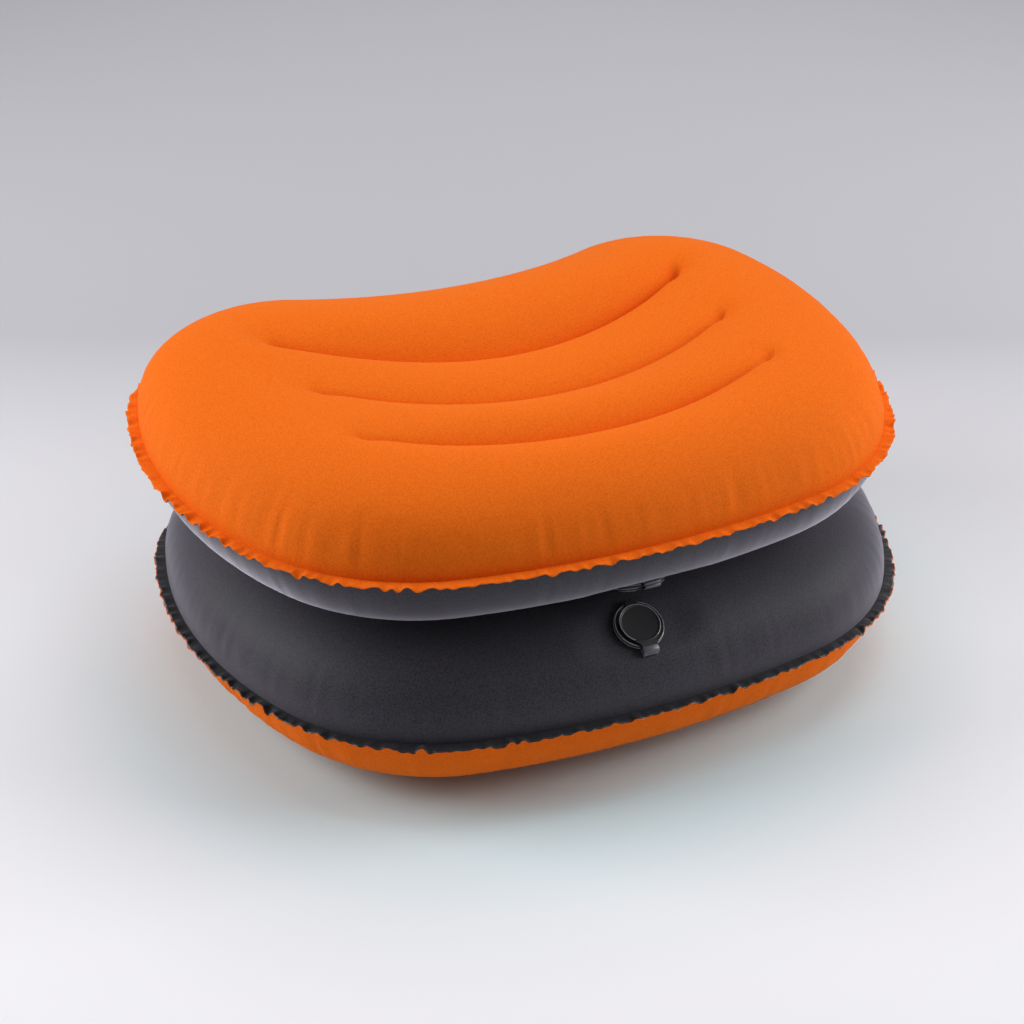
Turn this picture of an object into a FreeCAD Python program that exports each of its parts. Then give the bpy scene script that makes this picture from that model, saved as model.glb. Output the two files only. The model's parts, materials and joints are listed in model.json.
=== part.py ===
"""Two inflatable camp pillows, stacked back to back.

Millimetres, +Z up, origin on the resting plane under the middle of the stack.
Each pillow is modelled in its own frame: seam plane at z = 0, face side +Z, back side -Z,
front (convex) edge towards -Y.  The lower pillow is the same pillow turned over.
"""
import FreeCAD, Part
import math
import os
import Sketcher
from FreeCAD import Placement, Rotation, Vector

os.makedirs("parts", exist_ok=True)
doc = FreeCAD.newDocument("camp_pillows")

# ---------------------------------------------------------------- driving dimensions
CELLS = {
    # plan outline, measured at the outer edge of the weld flange
    "lobe_x": 120, "lobe_y": 53, "lobe_radius": 88,
    "corner_x": 74, "corner_y": -41, "corner_radius": 126,
    "side_radius": 250, "front_radius": 500, "hollow_back_radius": 216,
    "flange_width": 6, "fabric": 0.6,
    # inflated section
    "round_over": 70, "face_rise": 48, "back_rise": 45,
    "face_power": 2.0, "back_power": 2.5,
    # dish for the head in the face
    "dish_radius": 350, "dish_floor": 38, "dish_tilt": 6, "dish_length": 420,
    # grooves of the face, over the tie strips
    "groove_tube": 15, "groove_tilt": 20,
    "rear_plan_radius": 216, "rear_half": 118, "rear_front": 7.5, "rear_floor": 19.5,
    "middle_plan_radius": 234, "middle_half": 118, "middle_front": -50.5, "middle_floor": 25,
    "front_plan_radius": 284, "front_half": 116, "front_front": -101, "front_floor": 25.5,
    "tie_gauge": 0.5, "tie_inset": 6, "tie_clearance": 0.4,
    # valve: where it stands, then its pieces, in its own frame
    "valve_inset": 30, "valve_level": 34.6, "valve_tilt": 28, "valve_offset": 4.5, "valve_hole": 11.5,
    "flat_size": 120, "drill_depth": 12,
    "base_bore": 9.0, "base_neck": 11.4, "base_collar": 13.5, "base_flange": 16,
    "base_top": 1.5, "base_flange_gauge": 0.8, "weld_gap": 0.1, "collar_low": 0.05,
    "ring_radius": 13.2, "ring_low": 1.6, "ring_top": 2.9, "plug_radius": 8.93,
    "plug_low": -0.8, "plug_lead": 0.4, "plug_lead_height": 1.0, "seat_bore": 5.0,
    "lug_front": -14.5, "lug_back": -11, "tab_front": 12, "tab_back": 15.5, "tab_half": 2.5,
    "cap_radius": 11.0, "cap_low": 3.0, "cap_top": 4.4,
    "stub_radius": 4.95, "stub_low": 1.7, "stub_lead": 0.3, "stub_lead_height": 0.9,
    "neck_back": -9, "neck_top": 4.2, "nub_front": 10, "nub_back": 13.2, "nub_half": 3.5, "nub_top": 4.1,
    "flap_radius": 6.4, "flap_low": -1.3, "flap_top": -0.95,
    "strap_width": 8.0, "strap_half": 4.0, "hinge_y": -15.6, "knuckle_radius": 0.75,
    "ring_hinge_level": 0.8, "ring_root_half": 3.5, "ring_root_low": 0.15, "ring_root_top": 1.3,
    "cap_hinge_level": 3.4, "cap_root_half": 4.0, "cap_root_low": 1.75, "cap_root_front": -16.3,
    "neck_front": -14.4,
    # the stack
    "stack_gap": 0.3, "stack_shift_x": 3.5, "stack_shift_y": 12, "stack_centre_y": 16.7,
}
sheet = doc.addObject("Spreadsheet::Sheet", "sheet")
for row, (alias, value) in enumerate(CELLS.items(), start=1):
    sheet.set(f"A{row}", alias)
    sheet.set(f"B{row}", str(value))
    sheet.setAlias(f"B{row}", alias)
doc.recompute()


def cell(alias):
    """The value that the sheet holds under an alias."""
    return float(sheet.get(alias))


# ---------------------------------------------------------------- sketches
def tangent_centre(first, second, radius, side):
    """Centre of a circle of the given radius that holds two inner circles, on one side of them."""
    (ax, ay, ar), (bx, by, br) = first, second
    reach_a, reach_b = radius - ar, radius - br
    span = math.hypot(bx - ax, by - ay)
    along = (reach_a ** 2 - reach_b ** 2 + span ** 2) / (2 * span)
    across = side * math.sqrt(reach_a ** 2 - along ** 2)
    ux, uy = (bx - ax) / span, (by - ay) / span
    return ax + along * ux - across * uy, ay + along * uy + across * ux


def outline_circles(inset):
    """The eight circles of the kidney outline, in order round it, as (x, y, radius, bulges out)."""
    lobe = (cell("lobe_x"), cell("lobe_y"), cell("lobe_radius"))
    corner = (cell("corner_x"), cell("corner_y"), cell("corner_radius"))
    side = tangent_centre(corner, lobe, cell("side_radius"), 1)
    front_y = corner[1] + math.sqrt((cell("front_radius") - corner[2]) ** 2 - corner[0] ** 2)
    back_y = lobe[1] + math.sqrt((cell("hollow_back_radius") + lobe[2]) ** 2 - lobe[0] ** 2)
    return [
        (0, front_y, cell("front_radius") - inset, True),
        (corner[0], corner[1], corner[2] - inset, True),
        (side[0], side[1], cell("side_radius") - inset, True),
        (lobe[0], lobe[1], lobe[2] - inset, True),
        (0, back_y, cell("hollow_back_radius") + inset, False),
        (-lobe[0], lobe[1], lobe[2] - inset, True),
        (-side[0], side[1], cell("side_radius") - inset, True),
        (-corner[0], corner[1], corner[2] - inset, True),
    ]


def touch_point(one, two):
    """Where two tangent circles of the outline meet."""
    big, small = (one, two) if one[2] > two[2] else (two, one)
    dx, dy = small[0] - big[0], small[1] - big[1]
    span = math.hypot(dx, dy)
    return Vector(big[0] + dx * big[2] / span, big[1] + dy * big[2] / span, 0)


def outline_sketch(name, inset, level):
    """A closed kidney outline at an inset (expression) and a level (expression), in tangent arcs."""
    sketch = doc.addObject("Sketcher::SketchObject", name)
    sketch.addProperty("App::PropertyFloat", "Inset")
    sketch.setExpression("Inset", inset)
    sketch.setExpression("Placement.Base.z", level)
    doc.recompute()
    circles = outline_circles(sketch.Inset)
    count = len(circles)
    joints = [touch_point(circles[i], circles[(i + 1) % count]) for i in range(count)]
    for i, (x, y, radius, outward) in enumerate(circles):
        start, end = joints[i - 1], joints[i]
        if not outward:
            start, end = end, start
        angles = [math.atan2(p.y - y, p.x - x) for p in (start, end)]
        if angles[1] < angles[0]:
            angles[1] += 2 * math.pi
        circle = Part.Circle(Vector(x, y, 0), Vector(0, 0, 1), radius)
        sketch.addGeometry(Part.ArcOfCircle(circle, angles[0], angles[1]))
    start_of, end_of, centre_of = 1, 2, 3
    for i in range(count):
        following = (i + 1) % count
        leave = end_of if circles[i][3] else start_of
        arrive = start_of if circles[following][3] else end_of
        sketch.addConstraint(Sketcher.Constraint("Tangent", i, leave, following, arrive))
    radii = {0: "front_radius", 1: "corner_radius", 2: "side_radius", 3: "lobe_radius",
             4: "hollow_back_radius", 5: "lobe_radius", 6: "side_radius", 7: "corner_radius"}
    for arc, alias in radii.items():
        number = sketch.addConstraint(Sketcher.Constraint("Radius", arc, circles[arc][2]))
        sign = "-" if circles[arc][3] else "+"
        sketch.setExpression(f"Constraints[{number}]", f"sheet.{alias} {sign} Inset")
    for arc, alias, sign in ((1, "corner", ""), (3, "lobe", ""), (5, "lobe", "-"), (7, "corner", "-")):
        for direction, tail, mark in (("DistanceX", "_x", sign), ("DistanceY", "_y", "")):
            place = circles[arc][0] if direction == "DistanceX" else circles[arc][1]
            number = sketch.addConstraint(
                Sketcher.Constraint(direction, -1, 1, arc, centre_of, place))
            sketch.setExpression(f"Constraints[{number}]", f"{mark}sheet.{alias}{tail}")
    return sketch


def rounded_loft(name, side, skin):
    """The inflated form that stands on the flange, on the face or back side, shrunk by skin."""
    up = 1 if side == "face" else -1
    sections = []
    for step, share in enumerate((1.0, 0.95, 0.85, 0.68, 0.46, 0.22, 0.0)):
        power = f"sheet.{side}_power"
        bulge = f"(sheet.{side}_rise - sheet.fabric - {skin}) * (1 - {share} ^ {power}) ^ (1 / {power})"
        rise = f"{up} * (sheet.fabric + {bulge})"
        reach = f"sheet.flange_width + {skin} + sheet.round_over * (1 - {share})"
        sections.append(outline_sketch(f"{name}_section_{step}", reach, rise))
    loft = doc.addObject("Part::Loft", name)
    loft.Sections = sections
    loft.Solid = True
    loft.Ruled = False
    return loft


def boolean(kind, name, *shapes):
    """A Part::Cut (base, tool) or a Part::MultiFuse (shapes)."""
    result = doc.addObject(f"Part::{kind}", name)
    if kind == "Cut":
        result.Base, result.Tool = shapes
    else:
        result.Shapes = list(shapes)
    return result


# ---------------------------------------------------------------- fabric panels
def dish(name, skin):
    """The large cylinder that hollows the face for the head; it lies along Y and dips to the back."""
    form = doc.addObject("Part::Cylinder", name)
    form.setExpression("Radius", f"sheet.dish_radius + {skin}")
    form.setExpression("Height", "sheet.dish_length")
    tilt = Rotation(Vector(1, 0, 0), -90 - cell("dish_tilt"))
    axis = tilt.multVec(Vector(0, 0, 1))
    top = Vector(0, 0, cell("dish_floor") + cell("dish_radius"))
    form.Placement = Placement(top - axis * (cell("dish_length") / 2), tilt)
    return form


def groove(name, line, skin):
    """One groove: a piece of a torus bowed to the front, with a ball at each end."""
    radius, half = cell(f"{line}_plan_radius"), cell(f"{line}_half")
    tube = cell("groove_tube")
    sweep = 2 * math.degrees(math.asin(half / radius))
    lean = Rotation(Vector(1, 0, 0), cell("groove_tilt"))
    bottom = Vector(0, cell(f"{line}_front"), cell(f"{line}_floor") + tube)
    centre = bottom + lean.multVec(Vector(0, radius, 0))
    bar = doc.addObject("Part::Torus", name)
    bar.setExpression("Radius1", f"sheet.{line}_plan_radius")
    bar.setExpression("Radius2", f"sheet.groove_tube + {skin}")
    bar.Angle3 = sweep
    bar.Placement = Placement(centre, lean * Rotation(Vector(0, 0, 1), -90 - sweep / 2))
    balls = []
    for end, side in (("left", -1), ("right", 1)):
        ball = doc.addObject("Part::Sphere", f"{name}_{end}")
        ball.setExpression("Radius", f"sheet.groove_tube + {skin}")
        turn = math.radians(-90 + side * sweep / 2)
        ball.Placement.Base = centre + lean.multVec(Vector(math.cos(turn), math.sin(turn), 0) * radius)
        balls.append(ball)
    return boolean("MultiFuse", f"{name}_round_ended", bar, *balls)


def flange(name, side):
    """One layer of the welded rim, lying on the seam plane."""
    start = "0" if side == "face" else "-sheet.fabric"
    rims = []
    for edge, inset in (("outer", "0"), ("inner", "sheet.flange_width + sheet.fabric")):
        rim = doc.addObject("Part::Extrusion", f"{name}_{edge}")
        rim.Base = outline_sketch(f"{name}_{edge}_line", inset, start)
        rim.Dir = Vector(0, 0, 1)
        rim.DirMode = "Custom"
        rim.Solid = True
        rim.setExpression("LengthFwd", "sheet.fabric")
        rims.append(rim)
    return boolean("Cut", name, *rims)


def face_panel(prefix):
    """The face: flange, rounded sides, head dish and the welded grooves."""
    skins = []
    for layer, skin in (("outside", "0"), ("inside", "sheet.fabric")):
        name = f"{prefix}_face_{layer}"
        form = rounded_loft(f"{name}_form", "face", skin)
        tools = [dish(f"{name}_dish", skin)]
        tools += [groove(f"{name}_{line}_groove", line, skin) for line in LINES]
        hollows = boolean("MultiFuse", f"{name}_hollows", *tools)
        skins.append(boolean("Cut", name, form, hollows))
    shell = boolean("Cut", f"{prefix}_face_shell", *skins)
    rim = flange(f"{prefix}_face_flange", "face")
    return boolean("MultiFuse", f"{prefix}_face_panel", shell, rim)


def valve_frame():
    """Where the valve stands on the back panel: +Z is its axis outwards, +Y points up the slope."""
    outline_front = outline_circles(0)[0]
    edge = outline_front[1] - outline_front[2]
    place = Vector(cell("valve_offset"), edge + cell("valve_inset"), -cell("valve_level"))
    lean = Rotation(Vector(1, 0, 0), 180 - cell("valve_tilt"))
    return Placement(place, lean * Rotation(Vector(0, 0, 1), 180))


def back_panel(prefix):
    """The back: flange, rounded sides, the flat that the valve stands on and its hole."""
    skins = []
    reach = cell("flat_size")
    for layer, skin in (("outside", "0"), ("inside", "sheet.fabric")):
        name = f"{prefix}_back_{layer}"
        form = rounded_loft(f"{name}_form", "back", skin)
        flat = doc.addObject("Part::Box", f"{name}_flat")
        for side in ("Length", "Width", "Height"):
            flat.setExpression(side, "sheet.flat_size")
        depth = 0 if layer == "outside" else cell("fabric")
        corner = Placement(Vector(-reach / 2, -reach / 2, -depth), Rotation())
        flat.Placement = valve_frame() * corner
        skins.append(boolean("Cut", name, form, flat))
    shell = boolean("Cut", f"{prefix}_back_shell", *skins)
    drill = doc.addObject("Part::Cylinder", f"{prefix}_valve_drill")
    drill.setExpression("Radius", "sheet.valve_hole")
    drill.setExpression("Height", "sheet.drill_depth")
    half_way = Placement(Vector(0, 0, -cell("drill_depth") / 2), Rotation())
    drill.Placement = valve_frame() * half_way
    pierced = boolean("Cut", f"{prefix}_back_pierced", shell, drill)
    rim = flange(f"{prefix}_back_flange", "back")
    return boolean("MultiFuse", f"{prefix}_back_panel", pierced, rim)


# ---------------------------------------------------------------- PartDesign pieces
def plane_sketch(body, name, role):
    """A sketch on one of the body's own origin planes."""
    sketch = body.newObject("Sketcher::SketchObject", name)
    plane = [f for f in body.Origin.OriginFeatures if f.Role == role][0]
    sketch.AttachmentSupport = [(plane, "")]
    sketch.MapMode = "FlatFace"
    return sketch


def closed_lines(sketch, corners):
    """A closed polygon whose corners are pairs of expressions, each bound to the sheet."""
    values = [[number(text) for text in pair] for pair in corners]
    count = len(corners)
    for i, (x, y) in enumerate(values):
        following = values[(i + 1) % count]
        sketch.addGeometry(Part.LineSegment(Vector(x, y, 0), Vector(following[0], following[1], 0)))
    for i in range(count):
        sketch.addConstraint(Sketcher.Constraint("Coincident", i, 2, (i + 1) % count, 1))
    for i, pair in enumerate(corners):
        for direction, text, value in zip(("DistanceX", "DistanceY"), pair, values[i]):
            index = sketch.addConstraint(Sketcher.Constraint(direction, -1, 1, i, 1, value))
            sketch.setExpression(f"Constraints[{index}]", bound(text))


def bound(text):
    """An expression written with bare aliases, as the sheet's own."""
    return " ".join(f"sheet.{word}" if word in CELLS else word for word in text.split())


def number(text):
    """The value of such an expression: words joined by + and -, each an alias or a number."""
    total, sign = 0.0, 1
    for word in text.split():
        if word in "+-":
            sign = -1 if word == "-" else 1
        else:
            total += sign * (cell(word) if word in CELLS else float(word))
            sign = 1
    return total


def revolved(body, name, corners):
    """A solid turned about Z from a half section of (radius, level) pairs."""
    sketch = plane_sketch(body, f"{name}_section", "XZ_Plane")
    closed_lines(sketch, corners)
    turn = body.newObject("PartDesign::Revolution", name)
    turn.Profile = sketch
    turn.ReferenceAxis = (sketch, ["V_Axis"])
    turn.Angle = 360
    return turn


def padded_block(body, name, corners, low, high):
    """A polygon in plan, padded from one level to another (expressions)."""
    sketch = plane_sketch(body, f"{name}_plan", "XY_Plane")
    closed_lines(sketch, corners)
    sketch.setExpression("AttachmentOffset.Base.z", bound(low))
    pad = body.newObject("PartDesign::Pad", name)
    pad.Profile = sketch
    pad.setExpression("Length", f"{bound(high)} - ({bound(low)})")
    return pad


def knuckle(body, name, level):
    """The round end of a strap: a bar across the strap's width at the hinge line."""
    sketch = plane_sketch(body, f"{name}_section", "YZ_Plane")
    centre = Vector(cell("hinge_y"), cell(level), 0)
    sketch.addGeometry(Part.Circle(centre, Vector(0, 0, 1), cell("knuckle_radius")))
    bounds = (("Radius", (0,), "knuckle_radius"),
              ("DistanceX", (-1, 1, 0, 3), "hinge_y"), ("DistanceY", (-1, 1, 0, 3), level))
    for kind, where, alias in bounds:
        index = sketch.addConstraint(Sketcher.Constraint(kind, *where, cell(alias)))
        sketch.setExpression(f"Constraints[{index}]", f"sheet.{alias}")
    pad = body.newObject("PartDesign::Pad", name)
    pad.Profile = sketch
    pad.Midplane = True
    pad.setExpression("Length", "sheet.strap_width")
    return pad


def new_body(label):
    return doc.addObject("PartDesign::Body", label)


def slab(front, back, half):
    """A rectangle across the valve's middle, from front to back, as polygon corners."""
    return [(f"- {half}", front), (half, front), (half, back), (f"- {half}", back)]


def valve_base(prefix):
    """The base: a flange welded inside the fabric, a neck through the hole and a collar over it."""
    body = new_body(f"{prefix}_valve_base")
    under = "- fabric - weld_gap"
    low = "- fabric - weld_gap - base_flange_gauge"
    revolved(body, f"{prefix}_base_turned", [
        ("base_bore", low), ("base_flange", low), ("base_flange", under), ("base_neck", under),
        ("base_neck", "collar_low"), ("base_collar", "collar_low"), ("base_collar", "base_top"),
        ("base_bore", "base_top")])
    return body


def ring_strap(prefix):
    """Living hinge between the base and the deflation ring, with its root on the base's collar."""
    body = new_body(f"{prefix}_ring_strap")
    knuckle(body, f"{prefix}_ring_strap_bend", "ring_hinge_level")
    root = slab("hinge_y", "- base_collar", "ring_root_half")
    padded_block(body, f"{prefix}_ring_strap_root", root, "ring_root_low", "ring_root_top")
    return body


def dump_ring(prefix):
    """The wide deflation plug: a disc with a plug in the base, and the seat of the inflation cap."""
    body = new_body(f"{prefix}_dump_ring")
    revolved(body, f"{prefix}_ring_turned", [
        ("seat_bore", "plug_low"), ("plug_radius - plug_lead", "plug_low"),
        ("plug_radius", "plug_low + plug_lead_height"), ("plug_radius", "ring_low"),
        ("ring_radius", "ring_low"), ("ring_radius", "ring_top"), ("seat_bore", "ring_top")])
    lug = slab("lug_front", "lug_back", "strap_half")
    padded_block(body, f"{prefix}_ring_lug", lug, "ring_low", "ring_top")
    tab = slab("tab_front", "tab_back", "tab_half")
    padded_block(body, f"{prefix}_ring_tab", tab, "ring_low", "ring_top")
    return body


def cap_strap(prefix):
    """Living hinge between the deflation ring and the inflation cap, rooted on the ring's lug."""
    body = new_body(f"{prefix}_cap_strap")
    knuckle(body, f"{prefix}_cap_strap_bend", "cap_hinge_level")
    root = slab("cap_root_front", "lug_front", "cap_root_half")
    padded_block(body, f"{prefix}_cap_strap_root", root, "cap_root_low", "cap_hinge_level")
    return body


def inflate_cap(prefix):
    """The small cap: a disc with a stub in the seat, a neck to its strap and a pull nub."""
    body = new_body(f"{prefix}_inflate_cap")
    revolved(body, f"{prefix}_cap_turned", [
        ("0", "stub_low"), ("stub_radius - stub_lead", "stub_low"),
        ("stub_radius", "stub_low + stub_lead_height"), ("stub_radius", "cap_low"),
        ("cap_radius", "cap_low"), ("cap_radius", "cap_top"), ("0", "cap_top")])
    neck = slab("neck_front", "neck_back", "strap_half")
    padded_block(body, f"{prefix}_cap_neck", neck, "cap_low", "neck_top")
    nub = slab("nub_front", "nub_back", "nub_half")
    padded_block(body, f"{prefix}_cap_nub", nub, "cap_low", "nub_top")
    return body


def check_flap(prefix):
    """The one-way film flap under the seat."""
    body = new_body(f"{prefix}_check_flap")
    revolved(body, f"{prefix}_flap_turned", [
        ("0", "flap_low"), ("flap_radius", "flap_low"), ("flap_radius", "flap_top"),
        ("0", "flap_top")])
    return body


def tie_strip(prefix, line):
    """An internal strip of film that follows a groove and holds face and back together."""
    body = new_body(f"{prefix}_{line}_tie")
    sketch = plane_sketch(body, f"{prefix}_{line}_tie_plan", "XY_Plane")
    radius, gauge = cell(f"{line}_plan_radius"), cell("tie_gauge")
    half = math.asin((cell(f"{line}_half") - cell("tie_inset")) / radius)
    middle = cell(f"{line}_front") + radius
    ends = []
    for reach in (radius - gauge / 2, radius + gauge / 2):
        circle = Part.Circle(Vector(0, middle, 0), Vector(0, 0, 1), reach)
        sketch.addGeometry(Part.ArcOfCircle(circle, -math.pi / 2 - half, -math.pi / 2 + half))
        ends.append([Vector(side * reach * math.sin(half), middle - reach * math.cos(half), 0)
                     for side in (-1, 1)])
    for side in (0, 1):
        sketch.addGeometry(Part.LineSegment(ends[0][side], ends[1][side]))
    for arc, point, edge, end in ((0, 1, 2, 1), (1, 1, 2, 2), (0, 2, 3, 1), (1, 2, 3, 2)):
        sketch.addConstraint(Sketcher.Constraint("Coincident", arc, point, edge, end))
    for arc, sign in ((0, "-"), (1, "+")):
        index = sketch.addConstraint(Sketcher.Constraint("Radius", arc, radius))
        reach = f"sheet.{line}_plan_radius {sign} sheet.tie_gauge / 2"
        sketch.setExpression(f"Constraints[{index}]", reach)
        index = sketch.addConstraint(Sketcher.Constraint("DistanceY", -1, 1, arc, 3, middle))
        back = f"sheet.{line}_front + sheet.{line}_plan_radius"
        sketch.setExpression(f"Constraints[{index}]", back)
        sketch.addConstraint(Sketcher.Constraint("PointOnObject", arc, 3, -2))
        sketch.addConstraint(Sketcher.Constraint("Symmetric", arc, 1, arc, 2, -2))
        index = sketch.addConstraint(Sketcher.Constraint("DistanceX", -1, 1, arc, 2, ends[arc][1].x))
        sketch.setExpression(f"Constraints[{index}]", f"sheet.{line}_half - sheet.tie_inset")
    foot = "sheet.back_rise - sheet.fabric - sheet.tie_clearance"
    sketch.setExpression("AttachmentOffset.Base.z", f"-({foot})")
    pad = body.newObject("PartDesign::Pad", f"{prefix}_{line}_tie_pad")
    pad.Profile = sketch
    pad.setExpression("Length", f"{foot} + sheet.{line}_floor - sheet.fabric")
    return body


LINES = ("rear", "middle", "front")
VALVE_PIECES = (valve_base, ring_strap, dump_ring, cap_strap, inflate_cap, check_flap)


# ---------------------------------------------------------------- the two pillows
def pillow(prefix, place):
    """Every piece of one pillow, moved from the pillow's own frame to its place in the stack."""
    pieces = [face_panel(prefix), back_panel(prefix)] + [tie_strip(prefix, line) for line in LINES]
    for piece in pieces:
        piece.Placement = place
    for make in VALVE_PIECES:
        piece = make(prefix)
        piece.Placement = place * valve_frame()
        pieces.append(piece)
    return pieces


half_x, half_y = cell("stack_shift_x") / 2, cell("stack_shift_y") / 2
lower_seam = cell("face_rise")
upper_seam = lower_seam + 2 * cell("back_rise") + cell("stack_gap")
turned_over = Rotation(Vector(0, 1, 0), 180)
lower_origin = Vector(half_x, cell("stack_centre_y") - half_y, lower_seam)
upper_origin = Vector(-half_x, cell("stack_centre_y") + half_y, upper_seam)
pieces = pillow("lower", Placement(lower_origin, turned_over))
pieces += pillow("upper", Placement(upper_origin, Rotation()))
doc.recompute()

# ---------------------------------------------------------------- checks and files
for item in doc.Objects:
    if "Invalid" in item.State or "Error" in item.State:
        raise RuntimeError(f"{item.Name} failed: {item.State}")
for piece in pieces:
    shape = piece.Shape
    if shape.isNull() or not shape.isValid() or len(shape.Solids) != 1:
        raise RuntimeError(f"{piece.Label}: null, not valid or not one solid ({len(shape.Solids)})")
    box = shape.optimalBoundingBox(False)
    print(f"{piece.Label:24s} {shape.Volume:10.1f} mm3  x {box.XMin:.1f}..{box.XMax:.1f}"
          f"  y {box.YMin:.1f}..{box.YMax:.1f}  z {box.ZMin:.1f}..{box.ZMax:.1f}")
    shape.exportStep(f"parts/{piece.Label}.step")
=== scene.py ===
"""The looks of two inflatable camp pillows, stacked back to back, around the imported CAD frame.

Lengths in the tables are millimetres; MM turns them into Blender's metres.
Each pillow is shaped in its own frame: seam plane at z = 0, face +Z, back -Z, front edge -Y.
Each valve is shaped in a frame of its own: +Z out of the fabric, +Y up the slope, away from the straps.
"""
import json
import math

import bmesh
import bpy
import numpy as np
from mathutils import Matrix, Vector, geometry


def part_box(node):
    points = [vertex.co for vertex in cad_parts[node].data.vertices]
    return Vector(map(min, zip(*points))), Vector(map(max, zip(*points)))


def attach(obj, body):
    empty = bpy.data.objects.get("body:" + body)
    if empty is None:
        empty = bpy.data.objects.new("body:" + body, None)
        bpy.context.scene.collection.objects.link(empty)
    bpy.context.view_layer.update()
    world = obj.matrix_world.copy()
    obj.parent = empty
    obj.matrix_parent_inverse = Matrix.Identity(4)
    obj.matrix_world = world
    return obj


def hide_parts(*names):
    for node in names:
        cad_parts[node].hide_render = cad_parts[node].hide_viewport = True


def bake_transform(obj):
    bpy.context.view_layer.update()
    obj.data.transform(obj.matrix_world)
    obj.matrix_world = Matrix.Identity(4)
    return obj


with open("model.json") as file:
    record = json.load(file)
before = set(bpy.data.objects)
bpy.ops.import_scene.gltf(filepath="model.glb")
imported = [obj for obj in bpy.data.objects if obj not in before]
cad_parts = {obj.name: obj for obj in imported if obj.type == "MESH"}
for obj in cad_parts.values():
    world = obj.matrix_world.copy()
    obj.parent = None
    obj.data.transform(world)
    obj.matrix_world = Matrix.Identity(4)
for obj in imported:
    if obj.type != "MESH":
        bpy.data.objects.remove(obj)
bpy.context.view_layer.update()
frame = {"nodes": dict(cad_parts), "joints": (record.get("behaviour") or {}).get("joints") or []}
MM = 0.001

# ---------------------------------------------------------------- plan outline
LOBE = (120, 53, 88)
CORNER = (74, -41, 126)
SIDE_RADIUS, FRONT_RADIUS, BACK_RADIUS = 250, 500, 216
FLANGE = 6.0
DENSE = 1400


def holding_centre(first, second, radius):
    """Centre of the circle of that radius that holds two inner circles, on their outer left."""
    (ax, ay, ar), (bx, by, br) = first, second
    reach_a, reach_b = radius - ar, radius - br
    span = math.hypot(bx - ax, by - ay)
    along = (reach_a ** 2 - reach_b ** 2 + span ** 2) / (2 * span)
    across = math.sqrt(reach_a ** 2 - along ** 2)
    ux, uy = (bx - ax) / span, (by - ay) / span
    return ax + along * ux - across * uy, ay + along * uy + across * ux


def right_half_arcs():
    """The arcs of the right half, front to back: (x, y, radius, start angle, end angle, sign)."""
    front_y = CORNER[1] + math.sqrt((FRONT_RADIUS - CORNER[2]) ** 2 - CORNER[0] ** 2)
    back_y = LOBE[1] + math.sqrt((BACK_RADIUS + LOBE[2]) ** 2 - LOBE[0] ** 2)
    side = holding_centre(CORNER, LOBE, SIDE_RADIUS)
    to_corner = math.atan2(CORNER[1] - front_y, CORNER[0])
    side_low = math.atan2(CORNER[1] - side[1], CORNER[0] - side[0])
    side_high = math.atan2(LOBE[1] - side[1], LOBE[0] - side[0])
    to_back = math.atan2(back_y - LOBE[1], -LOBE[0])
    return [
        (0, front_y, FRONT_RADIUS, -math.pi / 2, to_corner, 1),
        (*CORNER, to_corner, side_low, 1),
        (*side, SIDE_RADIUS, side_low, side_high, 1),
        (*LOBE, side_high, to_back, 1),
        (0, back_y, BACK_RADIUS, to_back - math.pi, -math.pi / 2, -1),
    ]


def outline(count):
    """Points and outward normals of the flange's outer edge, evenly spaced, front middle first."""
    points, normals = [], []
    for x, y, radius, start, end, sign in right_half_arcs():
        angles = np.linspace(start, end, 400)
        ray = np.stack([np.cos(angles), np.sin(angles)], 1)
        points.append(np.array([x, y]) + radius * ray)
        normals.append(sign * ray)
    points, normals = np.concatenate(points), np.concatenate(normals)
    mirrored = np.array([-1, 1])
    points = np.concatenate([points, points[::-1] * mirrored])
    normals = np.concatenate([normals, normals[::-1] * mirrored])
    steps = np.linalg.norm(np.diff(points, axis=0), axis=1)
    keep = np.concatenate([[True], steps > 1e-6])
    points, normals = points[keep], normals[keep]
    run = np.concatenate([[0], np.cumsum(np.linalg.norm(np.diff(points, axis=0), axis=1))])
    at = np.linspace(0, run[-1], count, endpoint=False)
    even = [np.stack([np.interp(at, run, column) for column in table.T], 1) for table in (points, normals)]
    even[1] /= np.linalg.norm(even[1], axis=1)[:, None]
    return even[0], even[1], run[-1]


OUTLINE_FRONT = right_half_arcs()[0][1] - FRONT_RADIUS
RIM, RIM_NORMAL, RIM_LENGTH = outline(DENSE)


def pillow_place(which):
    """The matrix from a pillow's own frame to the row frame."""
    low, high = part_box(f"{which}_face_panel")
    seam = low.z if which == "upper" else high.z
    origin = Vector(((low.x + high.x) / 2, low.y - OUTLINE_FRONT * MM, seam))
    turn = Matrix.Rotation(math.pi, 4, "Y") if which == "lower" else Matrix.Identity(4)
    return Matrix.Translation(origin) @ turn


# ---------------------------------------------------------------- valve frame
HINGE_Y, RING_HINGE_LEVEL = -15.6, 0.8


def valve_place(which):
    """The matrix from a valve's frame (millimetres) to the row frame, from the two hinge lines."""
    joints = {joint["name"]: joint for joint in frame["joints"]}
    ring, cap = (joints[f"{which}_{name}_hinge"] for name in ("ring", "cap"))
    low, high = Vector(ring["pos_m"]), Vector(cap["pos_m"])
    out = (high - low).normalized()
    across = Vector(ring["axis"]).normalized()
    up_slope = out.cross(across)
    origin = low - (up_slope * HINGE_Y + out * RING_HINGE_LEVEL) * MM
    axes = Matrix((across * MM, up_slope * MM, out * MM)).transposed().to_4x4()
    return Matrix.Translation(origin) @ axes


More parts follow.
